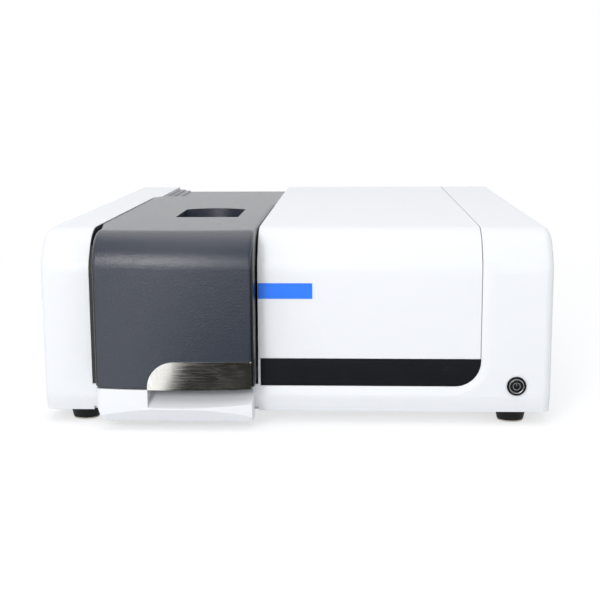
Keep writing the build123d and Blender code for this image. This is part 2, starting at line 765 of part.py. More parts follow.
# Optics bench and what stands on it
with BuildPart() as optics_bench:
    block(bench_left, bench_right, bench_front, bench_rear, bench_top - bench_sheet, bench_top)
    vertical = optics_bench.edges().filter_by(Axis.Z)
    fillet(vertical, 12)
    grating_place = (bench_left + 0.58 * bench_width, beam_y + 55)
    pulley_place = (bench_left + 0.786 * bench_width, beam_y + 55)
    rod((*grating_place, bench_top), 6.05, 30, mode=Mode.SUBTRACT)
    rod((*pulley_place, bench_top), 11, 30, mode=Mode.SUBTRACT)
finish(optics_bench, "optics_bench")

isolator_inset = 16.0
isolator_places = [
    (x, y)
    for x in (bench_left + isolator_inset, bench_right - isolator_inset)
    for y in (bench_front + isolator_inset, bench_rear - isolator_inset)
]
isolator_height = bench_top - bench_sheet - tray_top
with BuildPart() as bench_isolators:
    for place in isolator_places:
        rod((*place, tray_top + isolator_height / 2), isolator_radius, isolator_height)
finish(bench_isolators, "bench_isolators")

lamp_x = bench_left + 0.893 * bench_width
lamp_y = beam_y + 120
slit_y = beam_y - 48
with BuildPart() as lamp_housing:
    block(lamp_x - 26, lamp_x + 26, lamp_y - 40, lamp_y + 40, bench_top, bench_top + 78)
    block(lamp_x - 23, lamp_x + 23, lamp_y - 37, lamp_y + 37, bench_top + 3, bench_top + 75, Mode.SUBTRACT)
    block(lamp_x - 10, lamp_x + 10, lamp_y - 45, lamp_y - 30, beam_z - 10, beam_z + 10, Mode.SUBTRACT)
    with Locations((lamp_x, lamp_y, bench_top + 76)):
        with GridLocations(9, 1, 4, 1):
            Box(4, 44, 10, mode=Mode.SUBTRACT)
finish(lamp_housing, "lamp_housing")

with BuildPart() as flash_lamp:
    rod((lamp_x, lamp_y, bench_top + 13), 14, 20)
    rod((lamp_x, lamp_y, bench_top + 38), 9, 30)
    with Locations((lamp_x, lamp_y, bench_top + 53)):
        Sphere(9)
finish(flash_lamp, "flash_lamp")

mirror_thick = 6.0
mount_thick = 5.0
splitter_x = bench_left + 0.161 * bench_width
spherical_x = bench_left + 0.126 * bench_width
fold_x = bench_left + 0.482 * bench_width
mirror_places = {
    "lamp_mirror": (lamp_x, slit_y, 45.0, 17.0),
    "collimating_mirror": (spherical_x, slit_y, -69.0, 20.0),
    "focusing_mirror": (spherical_x, beam_y + 90, -121.0, 20.0),
    "fold_mirror": (fold_x, beam_y, 67.5, 12.0),
}


def mirror_plane(x, y, heading, z=beam_z):
    """The plane of a mirror's face, whose normal is turned about Z by the heading."""
    return Plane(origin=(x, y, z), z_dir=(cos(radians(heading + 90)), sin(radians(heading + 90)), 0))


for mirror_name, (x, y, heading, radius) in mirror_places.items():
    with BuildPart() as mirror:
        with BuildSketch(mirror_plane(x, y, heading)):
            Circle(radius)
        extrude(amount=-mirror_thick)
    finish(mirror, mirror_name)

with BuildPart() as mirror_mounts:
    for x, y, heading, radius in mirror_places.values():
        face = mirror_plane(x, y, heading)
        back = face.origin - face.z_dir * (mirror_thick + mount_thick / 2)
        side = 2 * radius + 4
        foot_plane = Plane(origin=(back.X, back.Y, bench_top), x_dir=face.z_dir)
        with BuildSketch(foot_plane):
            Rectangle(mount_thick, side)
        extrude(amount=beam_z + radius + 2 - bench_top)
        with BuildSketch(foot_plane):
            with Locations((-4, 0)):
                Rectangle(16, side)
        extrude(amount=mount_thick)
    with BuildSketch(Plane(origin=(splitter_x, beam_y, bench_top), x_dir=(1, 1, 0))):
        Rectangle(30, 12)
    extrude(amount=beam_z - 14 - bench_top)
finish(mirror_mounts, "mirror_mounts")

slit_x = bench_left + 0.648 * bench_width
exit_slit = (bench_left + 0.304 * bench_width, beam_y + 45)
with BuildPart() as monochromator_slits:
    block(slit_x - 1, slit_x + 1, slit_y - 16, slit_y + 12, bench_top, beam_z + 16)
    block(slit_x - 7, slit_x + 7, slit_y - 16, slit_y + 12, bench_top, bench_top + 4)
    block(slit_x - 3, slit_x + 3, slit_y - 0.6, slit_y + 0.6, beam_z - 6, beam_z + 6, Mode.SUBTRACT)
    with BuildSketch(Plane(origin=(*exit_slit, bench_top), x_dir=(1, 1, 0))):
        Rectangle(28, 12)
    extrude(amount=4)
    with BuildSketch(Plane(origin=(*exit_slit, bench_top), x_dir=(1, 1, 0))):
        Rectangle(28, 2)
    extrude(amount=beam_z + 16 - bench_top)
    with BuildSketch(Plane(origin=(*exit_slit, beam_z - 6), x_dir=(1, 1, 0))):
        Rectangle(1.2, 6)
    extrude(amount=12, mode=Mode.SUBTRACT)
finish(monochromator_slits, "monochromator_slits")

# Grating on its turntable, driven by a belt from the motor pulley
pulley_low = bench_top + 4
pulley_high = pulley_low + 8
driven_radius = 24.0
driver_radius = 8.0
shaft_low = bench_top - bench_sheet - 5
with BuildPart() as grating_turntable:
    rod((*grating_place, (shaft_low + pulley_low) / 2), 6, pulley_low - shaft_low)
    rod((*grating_place, (pulley_low + pulley_high) / 2), driven_radius, pulley_high - pulley_low)
    rod((*grating_place, (pulley_high + beam_z - 16) / 2), 10, beam_z - 16 - pulley_high)
    block(grating_place[0] - 18, grating_place[0] + 18, grating_place[1] - 8, grating_place[1] + 8,
          beam_z - 20, beam_z - 16)
finish(grating_turntable, "grating_turntable")

with BuildPart() as diffraction_grating:
    block(grating_place[0] - 16, grating_place[0] + 16, grating_place[1] - 5, grating_place[1] + 5,
          beam_z - 16, beam_z + 16)
finish(diffraction_grating, "diffraction_grating")

with BuildPart() as grating_bearing:
    rod((*grating_place, bench_top - bench_sheet - 2), 12, 4)
    rod((*grating_place, bench_top - bench_sheet - 2), 6.05, 6, mode=Mode.SUBTRACT)
finish(grating_bearing, "grating_bearing")

with BuildPart() as motor_pulley:
    rod((*pulley_place, (pulley_low + pulley_high) / 2), driver_radius, pulley_high - pulley_low)
    rod((*pulley_place, pulley_low - 9), 2.5, 20)
finish(motor_pulley, "motor_pulley")

with BuildPart() as grating_motor:
    motor_top = bench_top - bench_sheet
    block(pulley_place[0] - 17.5, pulley_place[0] + 17.5, pulley_place[1] - 17.5, pulley_place[1] + 17.5,
          tray_top + 3, motor_top)
    rod((*pulley_place, motor_top + 1), 10, 2)
    rod((*pulley_place, motor_top), 2.55, 20, mode=Mode.SUBTRACT)
    chamfer(grating_motor.edges().filter_by(Axis.Z).sort_by_distance((*pulley_place, 0))[-4:], 3)
finish(grating_motor, "grating_motor")

belt = 1.3
belt_gap = 0.3
with BuildPart() as grating_belt:
    span = pulley_place[0] - grating_place[0]
    lean = (driven_radius - driver_radius) / span
    rise = (1 - lean ** 2) ** 0.5
    for outside, mode in ((belt_gap + belt, Mode.ADD), (belt_gap, Mode.SUBTRACT)):
        big = driven_radius + outside
        small = driver_radius + outside
        with BuildSketch(Plane.XY.offset(pulley_low + 0.5)):
            with BuildLine():
                near_top = (grating_place[0] + big * lean, grating_place[1] + big * rise)
                far_top = (pulley_place[0] + small * lean, pulley_place[1] + small * rise)
                near_low = (near_top[0], 2 * grating_place[1] - near_top[1])
                far_low = (far_top[0], 2 * pulley_place[1] - far_top[1])
                Line(near_top, far_top)
                ThreePointArc(far_top, (pulley_place[0] + small, pulley_place[1]), far_low)
                Line(far_low, near_low)
                ThreePointArc(near_low, (grating_place[0] - big, grating_place[1]), near_top)
            make_face()
        extrude(amount=pulley_high - pulley_low - 1, mode=mode)
finish(grating_belt, "grating_belt")

# Order-sorting filter wheel in front of the entrance slit
wheel_x = slit_x + 12
wheel_y = slit_y + 22
filter_circle = 22.0
filter_radius = 6.0
with BuildPart() as filter_wheel:
    rod((wheel_x, wheel_y, beam_z), 31, 3, along_x)
    rod((wheel_x + 3, wheel_y, beam_z), 5, 4, along_x)
    with Locations(Location((wheel_x, wheel_y, beam_z), along_x)):
        with PolarLocations(filter_circle, 6):
            Cylinder(filter_radius, 10, mode=Mode.SUBTRACT)
    rod((wheel_x + 7, wheel_y, beam_z), 2, 14, along_x)
finish(filter_wheel, "filter_wheel")

with BuildPart() as order_filters:
    with Locations(Location((wheel_x, wheel_y, beam_z), along_x)):
        with PolarLocations(filter_circle, 6):
            Cylinder(filter_radius, 2)
finish(order_filters, "order_filters")

with BuildPart() as filter_wheel_motor:
    rod((wheel_x + 19, wheel_y, beam_z), 12, 20, along_x)
    block(wheel_x + 6, wheel_x + 9, wheel_y - 14, wheel_y + 14, bench_top, beam_z + 14)
    rod((wheel_x + 9, wheel_y, beam_z), 2.05, 14, along_x, Mode.SUBTRACT)
finish(filter_wheel_motor, "filter_wheel_motor")

with BuildPart() as beam_splitter:
    with BuildSketch(Plane(origin=(splitter_x, beam_y, beam_z - 14), x_dir=(1, 1, 0))):
        Rectangle(28, 2)
    extrude(amount=28)
finish(beam_splitter, "beam_splitter")

with BuildPart() as reference_detector:
    block(splitter_x - 10, splitter_x + 10, beam_y + 28, beam_y + 42, bench_top, beam_z + 12)
    rod((splitter_x, beam_y + 27, beam_z), 6, 4, along_y)
finish(reference_detector, "reference_detector")

with BuildPart() as sample_detector:
    detector_left = -half_width + wall + 4
    detector_right = bay_left - bay_wall - 1
    block(detector_left, detector_right, beam_y - 26, beam_y + 26, tray_top, beam_z + 28)
    block(detector_left + 2.5, detector_right - 2.5, beam_y - 23.5, beam_y + 23.5, tray_top + 3,
          beam_z + 25.5, Mode.SUBTRACT)
    rod((detector_right, beam_y, beam_z), window_radius, 10, along_x, Mode.SUBTRACT)
finish(sample_detector, "sample_detector")

with BuildPart() as photodiode:
    rod((detector_left + 2.5 + 4, beam_y, beam_z), 8, 8, along_x)
finish(photodiode, "photodiode")

# Electronics
with BuildPart() as power_supply:
    block(supply_left, supply_right, supply_front, supply_rear, tray_top, tray_top + supply_height)
    with Locations((supply_left + 49, supply_front + 74, tray_top + supply_height)):
        with GridLocations(10, 1, 8, 1):
            Box(4, 110, 5, mode=Mode.SUBTRACT)
finish(power_supply, "power_supply")

with BuildPart() as main_circuit_board:
    block(board_left, board_right, board_front, board_rear, board_low, board_low + board_sheet)
    for share_x, share_y, chip in ((0.32, 0.23, 22), (0.62, 0.41, 26), (0.32, 0.65, 16), (0.78, 0.74, 18)):
        chip_x = board_left + share_x * (board_right - board_left)
        chip_y = board_front + share_y * (board_rear - board_front)
        block(chip_x - chip / 2, chip_x + chip / 2, chip_y - chip / 2, chip_y + chip / 2,
              board_low + board_sheet, board_low + board_sheet + 2.4)
    for share_x in (0.22, 0.42, 0.62):
        socket_x = board_left + share_x * (board_right - board_left)
        block(socket_x - 10, socket_x + 10, board_rear - 18, board_rear - 10, board_low + board_sheet,
              board_low + board_sheet + 10.4)
finish(main_circuit_board, "main_circuit_board")

inlet_half_x = 14.0
inlet_half_z = 11.0
socket_left = inlet_x - 70
socket_right = inlet_x - 56
with BuildPart() as rear_panel:
    block(-half_width + wall + gap, half_width - wall - gap, rear_face - sheet, rear_face, tray_top + gap,
          deck_low - gap)
    block(inlet_x - inlet_half_x, inlet_x + inlet_half_x, rear_face - 5, rear_face + 5,
          inlet_z - inlet_half_z, inlet_z + inlet_half_z + 12, Mode.SUBTRACT)
    block(socket_left, socket_right, rear_face - 5, rear_face + 5, inlet_z - 6, inlet_z + 6, Mode.SUBTRACT)
    for vent_z in (deck_low - 70, deck_low - 36):
        with Locations((0, rear_face, vent_z)):
            with GridLocations(12, 1, 22, 1):
                Box(5, 8, 26, mode=Mode.SUBTRACT)
finish(rear_panel, "rear_panel")

drawer_low = inlet_z + inlet_half_z + 1.0
with BuildPart() as mains_inlet:
    block(inlet_x - inlet_half_x + gap, inlet_x + inlet_half_x - gap, rear_face - 26, rear_face + 0.5,
          inlet_z - inlet_half_z + gap, inlet_z + inlet_half_z + 12 - gap)
    block(inlet_x - inlet_half_x - 3, inlet_x + inlet_half_x + 3, rear_face, rear_face + 2,
          inlet_z - inlet_half_z - 2, inlet_z + inlet_half_z + 14)
    block(inlet_x - 12, inlet_x + 12, rear_face - 16, rear_face + 5,
          inlet_z - 8.5, inlet_z + 8.5, Mode.SUBTRACT)
    block(inlet_x - 11, inlet_x + 11, rear_face - 22, rear_face + 5, drawer_low, drawer_low + 9, Mode.SUBTRACT)
    for pin_x, pin_z in ((-7, -2), (0, 2), (7, -2)):
        block(inlet_x + pin_x - 1, inlet_x + pin_x + 1, rear_face - 18, rear_face - 3,
              inlet_z + pin_z - 2, inlet_z + pin_z + 2)
finish(mains_inlet, "mains_inlet")

with BuildPart() as fuse_drawer:
    block(inlet_x - 11 + gap, inlet_x + 11 - gap, rear_face - 20, rear_face + 2, drawer_low + gap,
          drawer_low + 9 - gap)
    for side in (-1, 1):
        rod((inlet_x + side * 5, rear_face - 9, drawer_low + 4.5), 2.6, 18, along_y, Mode.SUBTRACT)
        block(inlet_x + side * 5 - 2.6, inlet_x + side * 5 + 2.6, rear_face - 18, rear_face,
              drawer_low + 4.5, drawer_low + 9, Mode.SUBTRACT)
finish(fuse_drawer, "fuse_drawer")

with BuildPart() as fuses:
    for side in (-1, 1):
        rod((inlet_x + side * 5, rear_face - 9, drawer_low + 4.5), 2.5, 17.6, along_y)
finish(fuses, "fuses")

with BuildPart() as data_socket:
    block(socket_left + gap, socket_right - gap, rear_face - 16, rear_face + 0.8, inlet_z - 6 + gap, inlet_z + 6 - gap)
    block(socket_left + 3, socket_right - 3, rear_face - 9, rear_face + 2, inlet_z - 4, inlet_z + 4, Mode.SUBTRACT)
    block(socket_left + 5, socket_right - 5, rear_face - 10, rear_face - 2, inlet_z - 1, inlet_z + 1)
finish(data_socket, "data_socket")
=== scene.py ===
"""Looks of the uv-vis spectrophotometer: finishes, softened edges, the turned power button, studio and
camera. Lengths are in metres and the lamps' powers in watts."""

import json
import math

import bmesh
import bpy
import numpy as np
from mathutils import Matrix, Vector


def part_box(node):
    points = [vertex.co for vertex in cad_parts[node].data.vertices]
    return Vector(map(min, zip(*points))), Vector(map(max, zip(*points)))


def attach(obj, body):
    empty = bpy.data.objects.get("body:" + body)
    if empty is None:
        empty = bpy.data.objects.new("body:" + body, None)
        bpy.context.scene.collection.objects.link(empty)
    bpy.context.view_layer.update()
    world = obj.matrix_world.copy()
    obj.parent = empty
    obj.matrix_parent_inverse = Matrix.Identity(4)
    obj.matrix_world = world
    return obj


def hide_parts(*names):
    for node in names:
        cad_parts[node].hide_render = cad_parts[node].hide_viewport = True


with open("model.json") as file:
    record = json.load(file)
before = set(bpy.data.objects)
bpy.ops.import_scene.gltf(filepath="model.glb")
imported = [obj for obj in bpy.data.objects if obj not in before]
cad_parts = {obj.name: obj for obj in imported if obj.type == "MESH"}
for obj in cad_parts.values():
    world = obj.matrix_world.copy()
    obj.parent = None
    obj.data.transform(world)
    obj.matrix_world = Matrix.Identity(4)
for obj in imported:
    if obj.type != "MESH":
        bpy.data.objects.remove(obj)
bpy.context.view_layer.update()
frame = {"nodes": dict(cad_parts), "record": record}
slot_of_node = {row["node"]: row["material_slot"] for row in frame["record"]["subparts"]}
body_of_node = {
    node: body
    for body, members in frame["record"]["behaviour"]["bodies"].items()
    for node in members
}

# Sockets of a colour mix, by number, because those for plain numbers have the same names
mix_share, mix_first, mix_second, mix_result = 0, 6, 7, 2


# Building blocks of the finishes
def put(tree, kind, sockets=None, **settings):
    """Add a shader node, with its settings, and with values or links on its sockets."""
    made = tree.nodes.new(kind)
    for setting, value in settings.items():
        setattr(made, setting, value)
    for socket, value in (sockets or {}).items():
        if isinstance(value, bpy.types.NodeSocket):
            tree.links.new(value, made.inputs[socket])
        else:
            made.inputs[socket].default_value = value
    return made


def start_finish(name):
    """A new material with only its output, and the place on the object to read patterns from."""
    finish = bpy.data.materials.new(name)
    finish.use_nodes = True
    tree = finish.node_tree
    tree.nodes.clear()
    output = tree.nodes.new("ShaderNodeOutputMaterial")
    place = put(tree, "ShaderNodeTexCoord").outputs["Object"]
    return finish, tree, output, place


def reckoned(tree, operation, *numbers):
    """The result of a sum, a product or the like on these numbers."""
    return put(tree, "ShaderNodeMath", dict(enumerate(numbers)), operation=operation).outputs[0]


def stretched(tree, place, scale):
    """The place, squeezed or drawn out along each axis."""
    return put(tree, "ShaderNodeMapping", {"Vector": place, "Scale": scale}).outputs["Vector"]


def cloud(tree, place, per_metre, detail=3.0, rough=0.5):
    """A soft random pattern from 0 to 1 with that many features per metre."""
    return put(tree, "ShaderNodeTexNoise", {
        "Vector": place, "Scale": per_metre, "Detail": detail, "Roughness": rough}).outputs["Fac"]


def between(tree, factor, low, high, start=0.3, end=0.7):
    """A number that runs from low to high while the factor runs from start to end."""
    ranged = put(tree, "ShaderNodeMapRange", {
        "Value": factor, "From Min": start, "From Max": end, "To Min": low, "To Max": high})
    return ranged.outputs["Result"]


def tinted(tree, factor, first, second):
    """A colour between two others, each given as three numbers or as the result of other nodes."""
    first, second = (
        colour if isinstance(colour, bpy.types.NodeSocket) else (*colour, 1) for colour in (first, second))
    mix = put(tree, "ShaderNodeMix", {mix_share: factor, mix_first: first, mix_second: second},
              data_type="RGBA")
    return mix.outputs[mix_result]


def shaded(colour, factor):
    """The colour made lighter or darker."""
    return tuple(min(1.0, part * factor) for part in colour)


def sharp_edges(tree):
    """0 on flat stretches, up to 1 on the sharpest outer edges."""
    point = put(tree, "ShaderNodeNewGeometry").outputs["Pointiness"]
    return between(tree, point, 0.0, 1.0, start=0.53, end=0.62)


def relief(tree, height, strength, distance):
    """The direction of a surface that a pattern roughens, by that distance at full strength."""
    return put(tree, "ShaderNodeBump", {
        "Height": height, "Strength": strength, "Distance": distance}).outputs["Normal"]


def surfaced(tree, output, sockets):
    """Join a surface with these values and links to the output of its finish."""
    surface = put(tree, "ShaderNodeBsdfPrincipled", sockets)
    tree.links.new(surface.outputs[0], output.inputs[0])


# Kinds of finish
def moulded(name, colour, roughness, grain, depth, mottle=0.03, wear=0.25, painted_sparkle=0.0, wear_and_sparkle_colour=None,
            specular=0.5, coat=0.0, uneven=0.05):
    """Moulded plastic, foam, rubber or paint: that many grains per metre of that depth, a colour that
    drifts by the share mottle, and a roughness that drifts by uneven. A lighter colour, given as worn,
    shows as wear on sharp edges by the share wear, or instead as a painted sparkle on the tops of the
    grain, standing for glints of light, by the share speckle."""
    shade_drifts, gloss_drifts, wear_and_sparkle_lighter = 14, 60, 1.6
    finish, tree, output, place = start_finish(name)
    fine = cloud(tree, place, grain, detail=5, rough=0.6)
    plain = tinted(tree, cloud(tree, place, shade_drifts),
                   shaded(colour, 1 - mottle), shaded(colour, 1 + mottle))
    # Where speckle is given, the tops of the grain take the lighter colour as a painted sparkle that stands
    # for glints of light; otherwise sharp edges take it as wear
    if painted_sparkle:
        wear_and_sparkle = between(tree, fine, 0.0, painted_sparkle, start=0.5, end=0.8)
    else:
        wear_and_sparkle = reckoned(tree, "MULTIPLY", sharp_edges(tree), wear)
    gloss = cloud(tree, place, gloss_drifts, detail=4)
    surfaced(tree, output, {
        "Base Color": tinted(tree, wear_and_sparkle, plain, wear_and_sparkle_colour or shaded(colour, wear_and_sparkle_lighter)),
        "Roughness": between(tree, gloss, roughness - uneven, roughness + uneven),
        "Normal": relief(tree, fine, strength=0.5, distance=depth),
        "Specular IOR Level": specular,
        "Coat Weight": coat,
        "Coat Roughness": 0.12,
    })
    return finish


def metal(name, colour, roughness, scratches, depth, drawn=(1, 1, 1), spread=0.08, mottle=0.05):
    """Bare or plated metal: that many scratches per metre, longer along an axis where drawn is below 1, a
    roughness that varies by spread, a colour that varies by the share mottle, and brighter edges."""
    gloss_drifts, edge_lighter = 25, 1.25
    finish, tree, output, place = start_finish(name)
    lines = cloud(tree, stretched(tree, place, drawn), scratches, detail=6, rough=0.65)
    plain = tinted(tree, lines, shaded(colour, 1 - mottle), shaded(colour, 1 + mottle))
    along_lines = between(tree, lines, roughness - spread / 2, roughness + spread / 2)
    in_patches = between(tree, cloud(tree, place, gloss_drifts), -spread / 4, spread / 4)
    surfaced(tree, output, {
        "Base Color": tinted(tree, sharp_edges(tree), plain, shaded(colour, edge_lighter)),
        "Metallic": 1.0,
        "Roughness": reckoned(tree, "ADD", along_lines, in_patches),
        "Normal": relief(tree, lines, strength=0.35, distance=depth),
    })
    return finish


def glass(name, colour, refraction):
    """Polished glass with faint smears that are a little rougher than the rest."""
    smears, smear_darker, polish, smear_roughness = 90, 0.96, 0.02, 0.05
    finish, tree, output, place = start_finish(name)
    smear = cloud(tree, stretched(tree, place, (1, 1, 3)), smears, detail=5)
    surfaced(tree, output, {
        "Base Color": tinted(tree, smear, shaded(colour, smear_darker), colour),
        "Roughness": between(tree, smear, polish, polish + smear_roughness),
        "Transmission Weight": 0.9,
        "IOR": refraction,
        "Normal": relief(tree, smear, strength=0.05, distance=0.0001),
    })
    return finish


def printed(name, colour, second):
    """Printed film: fine dots of two close shades below a thin gloss."""
    dots_per_metre, gloss_drifts, roughness, uneven = 2600.0, 40, 0.5, 0.05
    finish, tree, output, place = start_finish(name)
    dots = put(tree, "ShaderNodeTexVoronoi", {"Vector": place, "Scale": dots_per_metre}).outputs["Distance"]
    gloss = cloud(tree, place, gloss_drifts)
    surfaced(tree, output, {
        "Base Color": tinted(tree, between(tree, dots, 0.0, 1.0, start=0.2, end=0.8), colour, second),
        "Roughness": between(tree, gloss, roughness - uneven, roughness + uneven),
        "Normal": relief(tree, gloss, strength=0.08, distance=0.0002),
        "Coat Weight": 0.15,
        "Coat Roughness": 0.2,
    })
    return finish


# Finishes, one for each material slot of the record, each below the pieces that have it
# Where speckle is given, the tops of the grain are lightened as a painted sparkle that stands for glints of
# light
moulded_finishes = {
    # Casing, lift-off cover and plinth
    "white_plastic": dict(
        colour=(0.80, 0.815, 0.84), roughness=0.42, grain=1900, depth=0.00002, mottle=0.006,
        painted_sparkle=0.1, wear_and_sparkle_colour=(0.84, 0.85, 0.87), specular=0.4, uneven=0.02),
    # Skin and top of the sample lid, and the panel behind it
    "charcoal_plastic": dict(
        colour=(0.019, 0.026, 0.044), roughness=0.265, grain=850, depth=0.0006, mottle=0.02,
        painted_sparkle=0.3, wear_and_sparkle_colour=(0.030, 0.038, 0.058), specular=0.75, uneven=0.008),
    # Inlay strip, lid frame, power button with its switch, mains inlet and fuse drawer
    "black_plastic": dict(
        colour=(0.007, 0.0075, 0.010), roughness=0.26, grain=1700, depth=0.00006, mottle=0.04,
        painted_sparkle=0.2, wear_and_sparkle_colour=(0.03, 0.03, 0.033), uneven=0.015),
    # Tub of the sample bay
    "black_liner": dict(
        colour=(0.013, 0.013, 0.014), roughness=0.62, grain=1300, depth=0.00005, mottle=0.08,
        wear=0.3, wear_and_sparkle_colour=(0.05, 0.05, 0.05)),
    # Feet and the isolators of the optics bench
    "black_rubber": dict(
        colour=(0.003, 0.003, 0.0035), roughness=0.6, grain=1200, depth=0.0001, mottle=0.1,
        painted_sparkle=0.3, wear_and_sparkle_colour=(0.012, 0.012, 0.013), specular=0.25),
    # Pads below the feet
    "pale_pad": dict(colour=(0.50, 0.46, 0.40), roughness=0.7, grain=900, depth=0.0001, mottle=0.08),
    # Seal of the sample lid
    "foam_seal": dict(colour=(0.018, 0.018, 0.019), roughness=0.9, grain=600, depth=0.0005, mottle=0.15),
    # Fittings of the sample bay, hinge leaves, and the mounts, slits, detectors and housings of the optics
    "black_anodised": dict(
        colour=(0.016, 0.016, 0.018), roughness=0.4, grain=2600, depth=0.00002, mottle=0.1,
        wear=0.5, wear_and_sparkle_colour=(0.25, 0.25, 0.26), specular=0.7),
    # Rear panel
    "grey_panel_paint": dict(
        colour=(0.56, 0.57, 0.59), roughness=0.55, grain=1000, depth=0.00008, mottle=0.02, wear=0.15),
    # Main circuit board
    "circuit_green": dict(
        colour=(0.02, 0.16, 0.07), roughness=0.35, grain=500, depth=0.00004, mottle=0.2, wear=0.2, coat=0.4),
    # Belt of the grating drive
    "belt_rubber": dict(colour=(0.015, 0.015, 0.015), roughness=0.7, grain=1200, depth=0.00008, mottle=0.1),
}
metal_finishes = {
    # Handle plate of the lid, brushed from side to side
    "brushed_stainless": dict(
        colour=(0.84, 0.82, 0.77), roughness=0.16, scratches=750, depth=0.00003, drawn=(0.02, 1, 1),
        spread=0.14, mottle=0.2),
    # Ring of the power button
    "bright_ring": dict(
        colour=(0.90, 0.90, 0.91), roughness=0.30, scratches=900, depth=0.000004, spread=0.05, mottle=0.02),
    # Filter wheel, grating turntable and motor pulley
    "anodised_aluminium": dict(
        colour=(0.58, 0.59, 0.61), roughness=0.38, scratches=1400, depth=0.00001, drawn=(1, 1, 0.1)),
    # Optics bench
    "cast_aluminium": dict(colour=(0.50, 0.51, 0.52), roughness=0.55, scratches=500, depth=0.0002),
    # Screws, hinge pins, data socket, filter wheel motor, grating bearing and photodiode
    "zinc_steel": dict(colour=(0.60, 0.61, 0.62), roughness=0.3, scratches=800, depth=0.00001),
    # Mirrors and the grating
    "front_mirror": dict(
        colour=(0.90, 0.90, 0.92), roughness=0.03, scratches=300, depth=0.0, spread=0.02, mottle=0.01),
    # Base tray and power supply
    "sheet_zinc": dict(
        colour=(0.50, 0.51, 0.52), roughness=0.42, scratches=160, depth=0.00003, spread=0.12, mottle=0.10),
}
glass_finishes = {
    # Sample windows, beam splitter, flash lamp and fuses
    "silica_glass": dict(colour=(0.95, 0.97, 0.98), refraction=1.46),
    # Filters of the filter wheel
    "filter_glass": dict(colour=(0.85, 0.45, 0.12), refraction=1.5),
}
printed_finishes = {
    # Label on the cover's front
    "blue_label": dict(colour=(0.004, 0.175, 0.94), second=(0.006, 0.195, 0.98)),
    # Symbol on the power button
    "white_print": dict(colour=(0.20, 0.20, 0.20), second=(0.24, 0.24, 0.24)),
}
kinds_of_finish = (
    (moulded, moulded_finishes),
    (metal, metal_finishes),
    (glass, glass_finishes),
    (printed, printed_finishes),
)
finishes = {
    slot: kind(slot, **looks)
    for kind, slots in kinds_of_finish
    for slot, looks in slots.items()
}
for node, thing in frame["nodes"].items():
    thing.data.materials.clear()
    thing.data.materials.append(finishes[slot_of_node[node]])


# Pieces that stand for CAD nodes
def smooth_piece(name, mesh, node):
    """An object with smooth shading and the finish of a CAD node."""
    mesh.polygons.foreach_set("use_smooth", np.ones(len(mesh.polygons), bool))
    mesh.materials.clear()
    mesh.materials.append(finishes[slot_of_node[node]])
    piece = bpy.data.objects.new(name, mesh)
    bpy.context.scene.collection.objects.link(piece)
    return piece


def stand_for(piece, node):
    """Let a piece move with the body of a CAD node and be shown in its place."""
    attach(piece, body_of_node[node])
    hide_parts(node)


# Softened copies of the pieces whose edges show
weld_distance = 0.000002
flat_turn = math.radians(0.08)
edge_turn = math.radians(32)
edge_steps = 2


def softened(node, edge):
    """A copy of a CAD piece with its triangles joined to flat faces, and with a round of that width on
    each edge where the surface turns by more than edge_turn."""
    name = node + "_soft"
    work = bmesh.new()
    work.from_mesh(frame["nodes"][node].data)
    bmesh.ops.remove_doubles(work, verts=work.verts, dist=weld_distance)
    bmesh.ops.dissolve_limit(work, angle_limit=flat_turn, verts=work.verts, edges=work.edges)
    mesh = bpy.data.meshes.new(name)
    work.to_mesh(mesh)
    work.free()
    piece = smooth_piece(name, mesh, node)
    rounding = piece.modifiers.new("edges", "BEVEL")
    rounding.width = edge
    rounding.segments = edge_steps
    rounding.limit_method = "ANGLE"
    rounding.angle_limit = edge_turn
    rounding.use_clamp_overlap = True
    rounding.harden_normals = True
    rounding.miter_outer = "MITER_ARC"
    smoothing = piece.modifiers.new("normals", "WEIGHTED_NORMAL")
    smoothing.keep_sharp = True
    stand_for(piece, node)


soft_edges = {
    "main_casing": 0.0007,
    "monochromator_cover": 0.0007,
    "front_plinth": 0.0009,
    "rear_lid_panel": 0.0004,
    "lid_front_skin": 0.0005,
    "lid_top_panel": 0.0005,
    "lid_frame": 0.0004,
    "lid_handle": 0.0008,
    "cell_holder": 0.0004,
    "accessory_base_plate": 0.0004,
}
for node, edge in soft_edges.items():
    softened(node, edge)

# Turned pieces of the power button
round_steps = 128
ring_profile_steps = 40
cap_face_steps = 8
cap_edge_steps = 10
cap_side_steps = 3
turned_weld_distance = 0.000001


def grid_piece(name, node, spots, closed):
    """A smooth mesh from a grid of points that stands for a CAD node. Its first direction is joined round,
    and its second one too where it is closed. Points that meet on the axis become one."""
    rows, columns = spots.shape[:2]
    here = np.arange(rows * columns).reshape(rows, columns)
    onward = np.roll(here, -1, axis=0)
    quads = np.stack((here, onward, np.roll(onward, -1, axis=1), np.roll(here, -1, axis=1)), axis=-1)
    if not closed:
        quads = quads[:, :-1]
    mesh = bpy.data.meshes.new(name)
    mesh.from_pydata(spots.reshape(-1, 3).tolist(), [], quads.reshape(-1, 4).tolist())
    work = bmesh.new()
    work.from_mesh(mesh)
    bmesh.ops.remove_doubles(work, verts=work.verts, dist=turned_weld_distance)
    bmesh.ops.recalc_face_normals(work, faces=work.faces)
    work.to_mesh(mesh)
    work.free()
    stand_for(smooth_piece(name, mesh, node), node)


def carried_round(node, radius, along):
    """Points of a profile carried round the Y axis through the middle of a node: x = radius * cos(swing),
    z = radius * sin(swing), and y from the front of the node (along = 0) to its back (along = 1)."""
    low, high = (np.array(corner, float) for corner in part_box(node))
    centre = (low + high) / 2
    swing = np.linspace(0, 2 * np.pi, round_steps, endpoint=False)[:, None]
    spots = np.empty((round_steps, len(radius), 3))
    spots[:, :, 0] = centre[0] + radius * np.cos(swing)
    spots[:, :, 1] = low[1] + (high[1] - low[1]) * along
    spots[:, :, 2] = centre[2] + radius * np.sin(swing)
    return spots


def half_width_of(node):
    """Half of a node's width along X."""
    low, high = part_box(node)
    return (high[0] - low[0]) / 2


